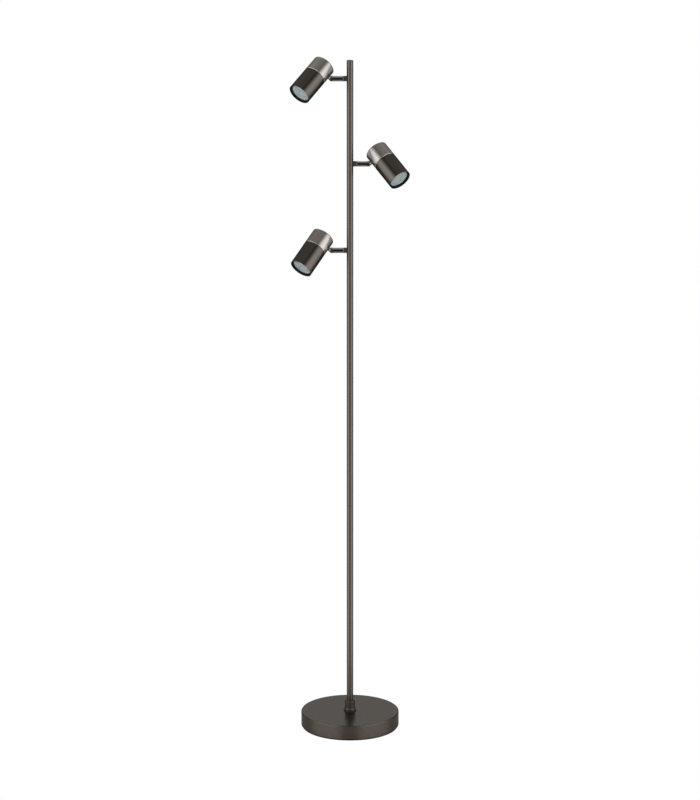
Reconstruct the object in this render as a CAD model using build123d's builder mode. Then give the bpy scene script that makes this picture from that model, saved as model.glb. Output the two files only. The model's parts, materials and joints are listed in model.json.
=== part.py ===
from build123d import *
import os
from math import cos, radians, sin

# Three-spot floor lamp: a weighted round base, a slim two-piece pole and three spot heads on swivel arms.
# Millimetres, +Z up, +X to the right and -Y to the front. The origin is under the middle of the base.

os.makedirs("parts", exist_ok=True)

# Fits
FIT = 0.05              # radial gap of pieces that are pushed, screwed or glued together
RUN = 0.05              # radial gap of a stem or screw in a hole that turns on it
END_PLAY = 0.05         # axial gap between flat faces that turn past each other
FORK_GAP = 0.15         # gap between the tongue and each cheek of its fork

# Base
BASE_DIA = 225.0
COVER_H = 33.0
COVER_WALL = 1.2
COVER_EDGE_R = 2.0
PAD_T = 3.4
PAD_INSET = 2.5
PLATE_T = 2.0
PLATE_GAP = 0.3
WEIGHT_T = 20.0
WEIGHT_GAP = 0.8
PLATE_SCREW_COUNT = 3
PLATE_SCREW_DIA = 4.0
PLATE_SCREW_HEAD_DIA = 7.4
PLATE_SCREW_L = 12.0
PLATE_SCREW_INSET = 32.0
PLATE_BOSS_DIA = 12.0

# Cord inlet at the back of the base, and the terminal block behind it
CORD_BORE_DIA = 6.4
CORD_BUSH_NECK_DIA = 9.5
CORD_BUSH_FLANGE_DIA = 13.0
CORD_BUSH_FLANGE_T = 2.5
CORD_BUSH_LIP_DIA = 11.5
CORD_BUSH_LIP_L = 5.0
CORD_BUSH_SLACK = 0.3
CORD_BUSH_RISE = 11.0   # height of the inlet above the lower edge of the cover
CORD_CHANNEL_ROOM = 1.0
TERMINAL_L = 30.0
TERMINAL_W = 18.0
TERMINAL_H = 11.5
TERMINAL_LIFT = 0.5     # clear height between the closing plate and the block
TERMINAL_FROM_AXIS = 38.0
TERMINAL_ROOM = 2.0
TERMINAL_SCREW_DIA = 3.2
TERMINAL_SCREW_DEPTH = 5.0

# Clamp stud that holds the pole, the cover and the weight together
NIPPLE_DIA = 10.0
NIPPLE_BORE = 6.6
NIPPLE_RISE = 23.0
NIPPLE_END = 0.5        # thread that shows below the nut
NUT_AF = 17.0
NUT_H = 6.0
WASHER_DIA = 24.0
WASHER_T = 2.0
NUT_ROOM = 1.0

# Collar at the foot of the pole
COLLAR_DIA = 23.0
COLLAR_H = 25.7
COLLAR_EDGE_R = 2.6
COLLAR_FLANGE_DIA = 29.0
COLLAR_RIM_H = 2.6
COLLAR_FLARE_H = 6.0

# Pole
POLE_DIA = 15.0
POLE_WALL = 1.0
LOWER_POLE_L = 494.5
UPPER_POLE_L = 1035.0
POLE_SEAM_CHAMFER = 0.4
FOOT_INSERT_L = 25.0
JOINER_L = 50.0
JOINER_BORE = 9.0
POLE_CAP_T = 3.0
POLE_CAP_EDGE_R = 0.6
POLE_CAP_PLUG_L = 10.0

# Arms: each stub is fixed in the pole and carries a barrel that swivels about it
ARM_NAMES = ("top", "middle", "low")
ARM_SIDES = {"top": -1, "middle": 1, "low": -1}
ARM_DROPS = {"top": 38.5, "middle": 234.1, "low": 434.5}    # below the upper end of the pole
REST_SWIVELS = {"top": 48.6, "middle": 48.6, "low": 43.2}   # lens swung to the front from hanging down
REST_TILTS = {"top": 34.3, "middle": 33.0, "low": 31.0}     # lens swung away from the pole
BOSS_DIA = 12.4
BOSS_L = 7.0
BOSS_EDGE = 0.4
SPIGOT_DIA = 8.0
SPIGOT_PAST = 1.0       # length of the spigot inside the pole's bore
RING_DIA = 13.0
RING_T = 1.0
RING_EDGE = 0.25
STEM_THREAD_DIA = 6.0
STEM_THREAD_L = 5.0
STEM_DIA = 7.0
STEM_HEAD_DIA = 9.0
STEM_HEAD_T = 2.5
STEM_BORE = 3.4
BARREL_DIA = 12.6
BARREL_L = 32.0
BARREL_BACK_T = 4.0
BARREL_BORE = 9.8
BARREL_EDGE = 0.7
NOSE_CHAMFER = 3.8
PIVOT_FROM_NOSE = 4.6
FORK_ROOT_GAP = 0.5
FORK_WEB = 3.0          # metal between the barrel's bore and the root of its fork
PIVOT_DIA = 3.0
PIVOT_HEAD_DIA = 4.8
PIVOT_HEAD_T = 1.4
PIVOT_INSET = 0.7       # depth of the screw's ends below the barrel's skin
PIVOT_SLOT_W = 0.8
PIVOT_SLOT_D = 0.6

# Reflector lamp and its holder
BULB_DIA = 49.8
BULB_L = 47.0
BULB_RIM_L = 9.0
BULB_NECK_DIA = 26.0
BULB_NECK_L = 10.0
BULB_BULGE = 3.0        # how far the reflector swells outside a straight cone
BULB_WALL = 1.8
LENS_DIA = 43.4
LENS_T = 3.0
LENS_SINK = 0.4
LENS_LEDGE = 1.0
PIN_SPACING = 10.0
PIN_DIA = 3.2
PIN_L = 7.0
PIN_HEAD_DIA = 5.0
PIN_HEAD_L = 2.5
PIN_ROOM = 0.3
HOLDER_DIA = 30.0
HOLDER_H = 20.0
HOLDER_EDGE = 1.5
BRACKET_H = 26.5
BRACKET_T = 1.0
BRACKET_W = 12.0
BRACKET_SPAN = 28.0
BRACKET_TAB_L = 8.0
HOLDER_SCREW_DIA = 3.0
HOLDER_SCREW_L = 9.0
HOLDER_SCREW_HEAD_DIA = 5.5
HOLDER_SCREW_HEAD_T = 1.6

# Spot head
BULB_GAP = 0.6
TUBE_WALL = 1.0
TUBE_RIM_R = 0.4
LENS_RECESS = 4.0       # from the front of the tube back to the lamp
CAP_L = 39.0
CAP_END_T = 1.5
CAP_EDGE_R = 3.0
CAP_SEAM_CHAMFER = 0.8
CAP_SPIGOT_L = 6.0
CAP_SPIGOT_T = 1.25
TONGUE_T = 4.0
TONGUE_W = 7.0
TONGUE_SETBACK = 15.8   # from the seam back to the tongue's middle
TONGUE_FOOT_L = 16.0
TONGUE_FOOT_W = 14.0
TONGUE_FOOT_T = 2.0
PIVOT_STANDOFF = 7.0    # from the skin of the cap out to the pivot

# Wiring
LEAD_DIA = 2.0
LEAD_PITCH = 2.15
LEAD_BEND_R = 3.0
LEAD_END_GAP = 0.3

# Levels and radii that follow from the sizes above
base_r = BASE_DIA / 2
base_top = PAD_T + COVER_H
plate_r = base_r - COVER_WALL - PLATE_GAP
plate_top = PAD_T + PLATE_T
weight_r = base_r - COVER_WALL - WEIGHT_GAP
weight_top = base_top - COVER_WALL
weight_z = weight_top - WEIGHT_T
plate_screw_r = plate_r - PLATE_SCREW_INSET
nut_recess_h = WASHER_T + NUT_H
lead_z = (plate_top + weight_z) / 2
terminal_z = plate_top + TERMINAL_LIFT
nipple_r = NIPPLE_DIA / 2
pole_r = POLE_DIA / 2
pole_bore_r = pole_r - POLE_WALL
seam_z = base_top + LOWER_POLE_L
pole_top = seam_z + UPPER_POLE_L

boss_end = pole_r + BOSS_L
barrel_start = boss_end + RING_T + END_PLAY
barrel_end = barrel_start + BARREL_L
pivot_reach = barrel_end - PIVOT_FROM_NOSE
barrel_r = BARREL_DIA / 2
fork_root = pivot_reach - TONGUE_W / 2 - FORK_ROOT_GAP
stem_head_start = barrel_start + BARREL_BACK_T + END_PLAY
pivot_half_l = barrel_r - PIVOT_INSET

bulb_r = BULB_DIA / 2
tube_bore_r = bulb_r + BULB_GAP
head_r = tube_bore_r + TUBE_WALL
cap_spigot_r = tube_bore_r - FIT
cap_bore_r = cap_spigot_r - CAP_SPIGOT_T
holder_z = CAP_END_T + BRACKET_H
bulb_z = holder_z + HOLDER_H
bulb_front = bulb_z + BULB_L
head_l = bulb_front + LENS_RECESS
tongue_z = CAP_L - TONGUE_SETBACK
pivot_radius = head_r + PIVOT_STANDOFF
tongue_foot_r = cap_bore_r - FIT
tab_mid = (BRACKET_SPAN - BRACKET_TAB_L) / 2


def axis_of(frame):
    """Axis along a frame's own z."""
    return Axis(frame.origin, frame.z_dir)


def section_of(frame):
    """Plane that holds a frame's axis: its x is the frame's x, and its y runs along the axis."""
    return Plane(frame.origin, x_dir=frame.x_dir, z_dir=frame.y_dir * -1)


def arm_frame(name):
    """Frame on the pole's axis: z runs out along the arm, and x is straight up, swivelled with the barrel."""
    swivel = radians(REST_SWIVELS[name])
    return Plane(
        (0, 0, pole_top - ARM_DROPS[name]),
        x_dir=(0, sin(swivel), cos(swivel)),
        z_dir=(ARM_SIDES[name], 0, 0),
    )


def fork_frame(name):
    """Frame at an arm's pivot: x runs out along the arm, and z lies along the pivot screw."""
    arm = arm_frame(name)
    return Plane(arm.origin + arm.z_dir * pivot_reach, x_dir=arm.z_dir, z_dir=arm.y_dir)


def head_frame(name):
    """Frame at the back of a head: z runs along the head to its lens, and x points to the pivot."""
    arm = arm_frame(name)
    tilt = radians(REST_TILTS[name])
    lens_way = arm.z_dir * sin(tilt) - arm.x_dir * cos(tilt)
    pivot_way = (arm.z_dir * cos(tilt) + arm.x_dir * sin(tilt)) * -1
    pivot = arm.origin + arm.z_dir * pivot_reach
    back = pivot - pivot_way * pivot_radius - lens_way * tongue_z
    return Plane(back, x_dir=pivot_way, z_dir=lens_way)


def save(piece, name):
    """Label a finished piece and write it to its own file."""
    piece.part.label = name
    export_step(piece.part, f"parts/{name}.step")


# Frame of the cord inlet: z points out of the back of the base
cord_inlet = Plane((0, base_r, PAD_T + CORD_BUSH_RISE), x_dir=(-1, 0, 0), z_dir=(0, 1, 0))

# Base cover: a spun shell, open below, with holes for the stud and the cord bush
with BuildPart() as base_cover:
    with BuildSketch(Plane.XY.offset(PAD_T)):
        Circle(base_r)
    extrude(amount=COVER_H)
    fillet(base_cover.faces().sort_by(Axis.Z)[-1].edges(), COVER_EDGE_R)
    offset(amount=-COVER_WALL, openings=base_cover.faces().sort_by(Axis.Z)[0])
    with BuildSketch(Plane.XY.offset(weight_top)):
        Circle(nipple_r + FIT)
    extrude(amount=COVER_WALL, mode=Mode.SUBTRACT)
    with BuildSketch(cord_inlet):
        Circle(CORD_BUSH_NECK_DIA / 2 + FIT)
    extrude(amount=-(COVER_WALL + CORD_BUSH_LIP_L), mode=Mode.SUBTRACT)
save(base_cover, "base_cover")

# Weight: a cast disc under the cover, with screw bosses and room for the nut, the block and the cord
with BuildPart() as base_weight:
    with BuildSketch(Plane.XY.offset(weight_z)):
        Circle(weight_r)
    extrude(amount=WEIGHT_T)
    chamfer(base_weight.faces().sort_by(Axis.Z)[-1].edges(), COVER_EDGE_R)
    with BuildSketch(Plane.XY.offset(plate_top)):
        with PolarLocations(plate_screw_r, PLATE_SCREW_COUNT, start_angle=-90):
            Circle(PLATE_BOSS_DIA / 2)
    extrude(amount=weight_z - plate_top)
    with BuildSketch(Plane.XY.offset(weight_z)):
        Circle(nipple_r + FIT)
    extrude(amount=WEIGHT_T, mode=Mode.SUBTRACT)
    with BuildSketch(Plane.XY.offset(weight_z)):
        Circle(WASHER_DIA / 2 + NUT_ROOM)
    extrude(amount=nut_recess_h, mode=Mode.SUBTRACT)
    with BuildSketch(Plane.XY.offset(weight_z)):
        with Locations((0, TERMINAL_FROM_AXIS + TERMINAL_W / 2)):
            Rectangle(TERMINAL_L + 2 * TERMINAL_ROOM, TERMINAL_W + 2 * TERMINAL_ROOM)
    extrude(amount=terminal_z + TERMINAL_H - weight_z, mode=Mode.SUBTRACT)
    channel_half_w = CORD_BUSH_LIP_DIA / 2 + CORD_CHANNEL_ROOM
    with BuildSketch(Plane.XY.offset(weight_z)):
        with Locations((0, (TERMINAL_FROM_AXIS + TERMINAL_W + base_r) / 2)):
            Rectangle(2 * channel_half_w, base_r - TERMINAL_FROM_AXIS - TERMINAL_W)
    extrude(amount=cord_inlet.origin.Z + channel_half_w - weight_z, mode=Mode.SUBTRACT)
    with BuildSketch(Plane.XY.offset(plate_top)):
        with PolarLocations(plate_screw_r, PLATE_SCREW_COUNT, start_angle=-90):
            Circle(PLATE_SCREW_DIA / 2 + FIT)
    extrude(amount=PLATE_SCREW_L, mode=Mode.SUBTRACT)
save(base_weight, "base_weight")

# Closing plate under the weight, countersunk for its screws
screw_flare = (PLATE_SCREW_HEAD_DIA - PLATE_SCREW_DIA) / 2
with BuildPart() as base_plate:
    with BuildSketch(Plane.XY.offset(PAD_T)):
        Circle(plate_r)
    extrude(amount=PLATE_T)
    with BuildSketch(Plane.XY.offset(PAD_T)):
        with PolarLocations(plate_screw_r, PLATE_SCREW_COUNT, start_angle=-90):
            Circle(PLATE_SCREW_HEAD_DIA / 2 + FIT)
    extrude(amount=screw_flare, taper=45, mode=Mode.SUBTRACT)
    with BuildSketch(Plane.XY.offset(PAD_T)):
        with PolarLocations(plate_screw_r, PLATE_SCREW_COUNT, start_angle=-90):
            Circle(PLATE_SCREW_DIA / 2 + FIT)
    extrude(amount=PLATE_T, mode=Mode.SUBTRACT)
save(base_plate, "base_plate")

# Countersunk screws that hold the closing plate to the weight
with BuildPart() as plate_screws:
    with BuildSketch(Plane.XY.offset(PAD_T)):
        with PolarLocations(plate_screw_r, PLATE_SCREW_COUNT, start_angle=-90):
            Circle(PLATE_SCREW_HEAD_DIA / 2)
    extrude(amount=screw_flare, taper=45)
    with BuildSketch(Plane.XY.offset(PAD_T)):
        with PolarLocations(plate_screw_r, PLATE_SCREW_COUNT, start_angle=-90):
            Circle(PLATE_SCREW_DIA / 2)
    extrude(amount=PLATE_SCREW_L)
save(plate_screws, "plate_screws")

# Floor pad under the closing plate
with BuildPart() as floor_pad:
    with BuildSketch(Plane.XY):
        Circle(base_r - PAD_INSET)
    extrude(amount=PAD_T)
save(floor_pad, "floor_pad")

# Cord bush: a flange outside the cover, a neck through its wall and a lip inside
with BuildPart() as cord_bush:
    neck_l = COVER_WALL + CORD_BUSH_SLACK
    with BuildSketch(section_of(cord_inlet)):
        with BuildLine():
            Polyline(
                (CORD_BORE_DIA / 2, CORD_BUSH_FLANGE_T),
                (CORD_BUSH_FLANGE_DIA / 2, CORD_BUSH_FLANGE_T),
                (CORD_BUSH_FLANGE_DIA / 2, 0),
                (CORD_BUSH_NECK_DIA / 2, 0),
                (CORD_BUSH_NECK_DIA / 2, -neck_l),
                (CORD_BUSH_LIP_DIA / 2, -neck_l),
                (CORD_BUSH_NECK_DIA / 2, -neck_l - CORD_BUSH_LIP_L),
                (CORD_BORE_DIA / 2, -neck_l - CORD_BUSH_LIP_L),
                close=True,
            )
        make_face()
    revolve(axis=axis_of(cord_inlet))
    fillet(cord_bush.faces().sort_by(Axis.Y)[-1].edges().sort_by(SortBy.RADIUS)[-1], CORD_BUSH_FLANGE_T / 2)
save(cord_bush, "cord_bush")

# Terminal block in its pocket of the weight, with a clamp screw hole for each lead
with BuildPart() as terminal_block:
    with BuildSketch(Plane.XY.offset(terminal_z)):
        with Locations((0, TERMINAL_FROM_AXIS + TERMINAL_W / 2)):
            Rectangle(TERMINAL_L, TERMINAL_W)
    extrude(amount=TERMINAL_H)
    with BuildSketch(Plane.XY.offset(terminal_z)):
        with Locations((0, TERMINAL_FROM_AXIS + TERMINAL_W / 2)):
            with GridLocations(TERMINAL_L / len(ARM_NAMES), 0, len(ARM_NAMES), 1):
                Circle(TERMINAL_SCREW_DIA / 2)
    extrude(amount=TERMINAL_SCREW_DEPTH, mode=Mode.SUBTRACT)
save(terminal_block, "terminal_block")

# Clamp stud, washer and nut at the foot of the pole
nut_z = weight_z
with BuildPart() as pole_nipple:
    with BuildSketch(Plane.XY.offset(nut_z - NIPPLE_END)):
        Circle(nipple_r)
        Circle(NIPPLE_BORE / 2, mode=Mode.SUBTRACT)
    extrude(amount=base_top + NIPPLE_RISE - nut_z + NIPPLE_END)
save(pole_nipple, "pole_nipple")

with BuildPart() as nipple_nut:
    with BuildSketch(Plane.XY.offset(nut_z)):
        RegularPolygon(NUT_AF / 2, 6, major_radius=False)
        Circle(nipple_r + FIT, mode=Mode.SUBTRACT)
    extrude(amount=NUT_H)
save(nipple_nut, "nipple_nut")

with BuildPart() as nipple_washer:
    with BuildSketch(Plane.XY.offset(nut_z + NUT_H)):
        Circle(WASHER_DIA / 2)
        Circle(nipple_r + FIT, mode=Mode.SUBTRACT)
    extrude(amount=WASHER_T)
save(nipple_washer, "nipple_washer")

# Bell-shaped collar: a rim on the cover, a hollow flare and a straight neck with a rounded top
with BuildPart() as pole_collar:
    flare_top = COLLAR_RIM_H + COLLAR_FLARE_H
    with BuildSketch(Plane.XZ):
        with BuildLine():
            Polyline(
                (pole_r + FIT, base_top),
                (COLLAR_FLANGE_DIA / 2, base_top),
                (COLLAR_FLANGE_DIA / 2, base_top + COLLAR_RIM_H),
            )
            EllipticalCenterArc(
                (COLLAR_FLANGE_DIA / 2, base_top + flare_top),
                (COLLAR_FLANGE_DIA - COLLAR_DIA) / 2,
                COLLAR_FLARE_H,
                start_angle=180,
                arc_size=90,
            )
            Polyline(
                (COLLAR_DIA / 2, base_top + flare_top),
                (COLLAR_DIA / 2, base_top + COLLAR_H),
                (pole_r + FIT, base_top + COLLAR_H),
                (pole_r + FIT, base_top),
            )
        make_face()
    revolve(axis=Axis.Z)
    fillet(pole_collar.faces().sort_by(Axis.Z)[-1].edges().sort_by(SortBy.RADIUS)[-1], COLLAR_EDGE_R)
save(pole_collar, "pole_collar")

# Threaded insert in the foot of the pole
with BuildPart() as pole_foot_insert:
    with BuildSketch(Plane.XY.offset(base_top)):
        Circle(pole_bore_r - FIT)
        Circle(nipple_r + FIT, mode=Mode.SUBTRACT)
    extrude(amount=FOOT_INSERT_L)
save(pole_foot_insert, "pole_foot_insert")

# Lower pole, from the cover to the seam
with BuildPart() as lower_pole:
    with BuildSketch(Plane.XY.offset(base_top)):
        Circle(pole_r)
        Circle(pole_bore_r, mode=Mode.SUBTRACT)
    extrude(amount=LOWER_POLE_L)
    chamfer(lower_pole.faces().sort_by(Axis.Z)[-1].edges().sort_by(SortBy.RADIUS)[-1], POLE_SEAM_CHAMFER)
save(lower_pole, "lower_pole")

# Joiner inside the seam, half in each pole
with BuildPart() as pole_joiner:
    with BuildSketch(Plane.XY.offset(seam_z - JOINER_L / 2)):
        Circle(pole_bore_r - FIT)
        Circle(JOINER_BORE / 2, mode=Mode.SUBTRACT)
    extrude(amount=JOINER_L)
save(pole_joiner, "pole_joiner")

# Upper pole, with a hole for the spigot of each arm
with BuildPart() as upper_pole:
    with BuildSketch(Plane.XY.offset(seam_z)):
        Circle(pole_r)
        Circle(pole_bore_r, mode=Mode.SUBTRACT)
    extrude(amount=UPPER_POLE_L)
    chamfer(upper_pole.faces().sort_by(Axis.Z)[0].edges().sort_by(SortBy.RADIUS)[-1], POLE_SEAM_CHAMFER)
    for arm_name in ARM_NAMES:
        with BuildSketch(arm_frame(arm_name)):
            Circle(SPIGOT_DIA / 2 + FIT)
        extrude(amount=POLE_DIA, mode=Mode.SUBTRACT)
save(upper_pole, "upper_pole")

# Cap in the upper end of the pole
with BuildPart() as pole_cap:
    with BuildSketch(Plane.XY.offset(pole_top)):
        Circle(pole_r)
    extrude(amount=POLE_CAP_T)
    fillet(pole_cap.faces().sort_by(Axis.Z)[-1].edges(), POLE_CAP_EDGE_R)
    with BuildSketch(Plane.XY.offset(pole_top - POLE_CAP_PLUG_L)):
        Circle(pole_bore_r - FIT)
    extrude(amount=POLE_CAP_PLUG_L)
save(pole_cap, "pole_cap")

# A lead to each head: out of the terminal block, up inside the pole and out through the arm's stem
with BuildPart() as pole_wiring:
    for arm_name, lane in zip(ARM_NAMES, (0, 1, -1)):
        arm = arm_frame(arm_name)
        lane_x = lane * LEAD_PITCH
        lead_end = ARM_SIDES[arm_name] * (stem_head_start + STEM_HEAD_T)
        with BuildLine() as route:
            FilletPolyline(
                (lane_x, TERMINAL_FROM_AXIS, lead_z),
                (lane_x, 0, lead_z),
                (lane_x, 0, arm.origin.Z),
                (lead_end, 0, arm.origin.Z),
                radius=LEAD_BEND_R - LEAD_DIA / 2,
            )
        with BuildSketch(Plane(route.line @ 0, z_dir=route.line % 0)):
            Circle(LEAD_DIA / 2)
        sweep()
save(pole_wiring, "pole_wiring")


def make_arm_boss(name):
    """Stub saddled onto the pole: a spigot into the pole's wall, and a threaded bore for the stem."""
    arm = arm_frame(name)
    with BuildPart() as arm_boss:
        with BuildSketch(arm):
            Circle(BOSS_DIA / 2)
        extrude(amount=boss_end)
        outer_rim = arm_boss.faces().sort_by(axis_of(arm))[-1].edges()
        chamfer(outer_rim, BOSS_EDGE)
        with BuildSketch(Plane.XY.offset(arm.origin.Z - BOSS_DIA)):
            Circle(pole_r + FIT)
        extrude(amount=2 * BOSS_DIA, mode=Mode.SUBTRACT)
        with BuildSketch(arm.offset(pole_bore_r - SPIGOT_PAST)):
            Circle(SPIGOT_DIA / 2)
        extrude(amount=boss_end - BOSS_EDGE - pole_bore_r + SPIGOT_PAST)
        with BuildSketch(arm):
            Circle(STEM_THREAD_DIA / 2 + FIT)
        extrude(amount=boss_end, mode=Mode.SUBTRACT)
    save(arm_boss, f"arm_boss_{name}")


def make_swivel_washer(name):
    """Bright ring between the stub and the barrel."""
    arm = arm_frame(name)
    with BuildPart() as swivel_washer:
        with BuildSketch(arm.offset(boss_end)):
            Circle(RING_DIA / 2)
            Circle(STEM_DIA / 2 + FIT, mode=Mode.SUBTRACT)
        extrude(amount=RING_T)
        rims = swivel_washer.edges().filter_by(GeomType.CIRCLE).sort_by(SortBy.RADIUS)[-2:]
        chamfer(rims, RING_EDGE)
    save(swivel_washer, f"swivel_washer_{name}")


def make_swivel_stem(name):
    """Hollow shoulder screw: a thread in the stub, a journal for the barrel and a head that retains it."""
    arm = arm_frame(name)
    with BuildPart() as swivel_stem:
        with BuildSketch(section_of(arm)):
            with BuildLine():
                Polyline(
                    (STEM_BORE / 2, boss_end - STEM_THREAD_L),
                    (STEM_THREAD_DIA / 2, boss_end - STEM_THREAD_L),
                    (STEM_THREAD_DIA / 2, boss_end),
                    (STEM_DIA / 2, boss_end),
                    (STEM_DIA / 2, stem_head_start),
                    (STEM_HEAD_DIA / 2, stem_head_start),
                    (STEM_HEAD_DIA / 2, stem_head_start + STEM_HEAD_T),
                    (STEM_BORE / 2, stem_head_start + STEM_HEAD_T),
                    close=True,
                )
            make_face()
        revolve(axis=axis_of(arm))
    save(swivel_stem, f"swivel_stem_{name}")


def make_swivel_barrel(name):
    """Polished barrel that turns on the stem, with a chamfered nose forked for the tongue."""
    arm = arm_frame(name)
    fork = fork_frame(name)
    with BuildPart() as swivel_barrel:
        with BuildSketch(section_of(arm)):
            with BuildLine():
                Polyline(
                    (STEM_DIA / 2 + RUN, barrel_start),
                    (barrel_r - BARREL_EDGE, barrel_start),
                    (barrel_r, barrel_start + BARREL_EDGE),
                    (barrel_r, barrel_end - NOSE_CHAMFER),
                    (barrel_r - NOSE_CHAMFER, barrel_end),
                    (0, barrel_end),
                    (0, fork_root - FORK_WEB),
                    (BARREL_BORE / 2, fork_root - FORK_WEB),
                    (BARREL_BORE / 2, barrel_start + BARREL_BACK_T),
                    (STEM_DIA / 2 + RUN, barrel_start + BARREL_BACK_T),
                    close=True,
                )
            make_face()
        revolve(axis=axis_of(arm))
        with BuildSketch(arm.offset(fork_root - FORK_WEB)):
            Circle(STEM_BORE / 2)
        extrude(amount=FORK_WEB, mode=Mode.SUBTRACT)
        with BuildSketch(fork):
            with Locations((fork_root - pivot_reach, 0)):
                Rectangle(barrel_end - fork_root, BARREL_DIA, align=(Align.MIN, Align.CENTER))
        extrude(amount=TONGUE_T / 2 + FORK_GAP, both=True, mode=Mode.SUBTRACT)
        with BuildSketch(fork):
            Circle(PIVOT_DIA / 2 + FIT)
        extrude(amount=barrel_r, both=True, mode=Mode.SUBTRACT)
        with BuildSketch(fork.offset(pivot_half_l - PIVOT_HEAD_T)):
            Circle(PIVOT_HEAD_DIA / 2 + FIT)
        extrude(amount=barrel_r, mode=Mode.SUBTRACT)
    save(swivel_barrel, f"swivel_barrel_{name}")


def make_pivot_screw(name):
    """Slotted screw across the fork: the tongue turns on its shank."""
    fork = fork_frame(name)
    with BuildPart() as pivot_screw:
        with BuildSketch(fork.offset(-pivot_half_l)):
            Circle(PIVOT_DIA / 2)
        extrude(amount=2 * pivot_half_l)
        with BuildSketch(fork.offset(pivot_half_l - PIVOT_HEAD_T)):
            Circle(PIVOT_HEAD_DIA / 2)
        extrude(amount=PIVOT_HEAD_T)
        with BuildSketch(fork.offset(pivot_half_l - PIVOT_SLOT_D)):
            Rectangle(PIVOT_SLOT_W, PIVOT_HEAD_DIA)
        extrude(amount=PIVOT_SLOT_D, mode=Mode.SUBTRACT)
    save(pivot_screw, f"pivot_screw_{name}")


def make_rear_cap(name):
    """Nickel cup at the back of a head, with a spigot into the tube and a slot for the tongue."""
    head = head_frame(name)
    with BuildPart() as rear_cap:
        with BuildSketch(section_of(head)):
            with BuildLine():
                Polyline(
                    (0, 0),
                    (head_r, 0),
                    (head_r, CAP_L - CAP_SEAM_CHAMFER),
                    (head_r - CAP_SEAM_CHAMFER, CAP_L),
                    (cap_spigot_r, CAP_L),
                    (cap_spigot_r, CAP_L + CAP_SPIGOT_L),
                    (cap_bore_r, CAP_L + CAP_SPIGOT_L),
                    (cap_bore_r, CAP_END_T),
                    (0, CAP_END_T),
                    close=True,
                )
            make_face()
        revolve(axis=axis_of(head))
        back_rim = rear_cap.faces().sort_by(axis_of(head))[0].edges()
        fillet(back_rim, CAP_EDGE_R)
        with BuildSketch(section_of(head)):
            with Locations((head_r, tongue_z)):
                Rectangle(2 * (head_r - cap_bore_r + TONGUE_FOOT_T), TONGUE_W + 2 * FIT)
        extrude(amount=TONGUE_T / 2 + FIT, both=True, mode=Mode.SUBTRACT)
    save(rear_cap, f"rear_cap_{name}")


def make_body_tube(name):
    """Bronze tube of a head, from the seam to the front rim."""
    head = head_frame(name)
    with BuildPart() as body_tube:
        with BuildSketch(head.offset(CAP_L)):
            Circle(head_r)
            Circle(tube_bore_r, mode=Mode.SUBTRACT)
        extrude(amount=head_l - CAP_L)
        front_rim = body_tube.faces().sort_by(axis_of(head))[-1].edges()
        fillet(front_rim, TUBE_RIM_R)
    save(body_tube, f"body_tube_{name}")


def make_tongue(name):
    """Pivot tongue: a curved foot brazed inside the cap, and a round-ended blade out to the pivot."""
    head = head_frame(name)
    with BuildPart() as tongue:
        with BuildSketch(head.offset(tongue_z - TONGUE_FOOT_L / 2)):
            Circle(tongue_foot_r)
            Circle(tongue_foot_r - TONGUE_FOOT_T, mode=Mode.SUBTRACT)
            with Locations((tongue_foot_r, 0)):
                Rectangle(tongue_foot_r, TONGUE_FOOT_W, mode=Mode.INTERSECT)
        extrude(amount=TONGUE_FOOT_L)
        with BuildSketch(section_of(head)):
            with Locations((tongue_foot_r - TONGUE_FOOT_T / 2, tongue_z)):
                blade_l = pivot_radius - tongue_foot_r + TONGUE_FOOT_T / 2
                Rectangle(blade_l, TONGUE_W, align=(Align.MIN, Align.CENTER))
            with Locations((pivot_radius, tongue_z)):
                Circle(TONGUE_W / 2)
        extrude(amount=TONGUE_T / 2, both=True)
        with BuildSketch(section_of(head)):
            with Locations((pivot_radius, tongue_z)):
                Circle(PIVOT_DIA / 2 + RUN)
        extrude(amount=TONGUE_T, both=True, mode=Mode.SUBTRACT)
    save(tongue, f"tongue_{name}")


def make_holder_bracket(name):
    """Folded strip on the cap's end wall: a foot, two legs and a tab on each leg for the lampholder."""
    head = head_frame(name)
    strip = Plane(head.origin, x_dir=head.y_dir, z_dir=head.x_dir)
    half = BRACKET_SPAN / 2
    with BuildPart() as holder_bracket:
        with BuildSketch(strip):
            with Locations((0, CAP_END_T)):
                Rectangle(BRACKET_SPAN, BRACKET_H, align=(Align.CENTER, Align.MIN))
            with Locations((0, CAP_END_T + BRACKET_T)):
                inner_h = BRACKET_H - 2 * BRACKET_T
                Rectangle(
                    BRACKET_SPAN - 2 * BRACKET_T, inner_h, align=(Align.CENTER, Align.MIN), mode=Mode.SUBTRACT
                )
            with Locations((0, holder_z)):
                Rectangle(
                    2 * (half - BRACKET_TAB_L), 2 * BRACKET_T, align=(Align.CENTER, Align.MAX), mode=Mode.SUBTRACT
                )
        extrude(amount=BRACKET_W / 2, both=True)
        with BuildSketch(head.offset(holder_z)):
            with Locations((0, tab_mid), (0, -tab_mid)):
                Circle(HOLDER_SCREW_DIA / 2 + FIT)
        extrude(amount=-2 * BRACKET_T, mode=Mode.SUBTRACT)
    save(holder_bracket, f"holder_bracket_{name}")


def make_holder_screws(name):
    """Pair of pan-head screws, up through the tabs into the lampholder."""
    head = head_frame(name)
    with BuildPart() as holder_screws:
        with BuildSketch(head.offset(holder_z - BRACKET_T)):
            with Locations((0, tab_mid), (0, -tab_mid)):
                Circle(HOLDER_SCREW_HEAD_DIA / 2)
        extrude(amount=-HOLDER_SCREW_HEAD_T)
        with BuildSketch(head.offset(holder_z - BRACKET_T)):
            with Locations((0, tab_mid), (0, -tab_mid)):
                Circle(HOLDER_SCREW_DIA / 2)
        extrude(amount=HOLDER_SCREW_L)
    save(holder_screws, f"holder_screws_{name}")


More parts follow.
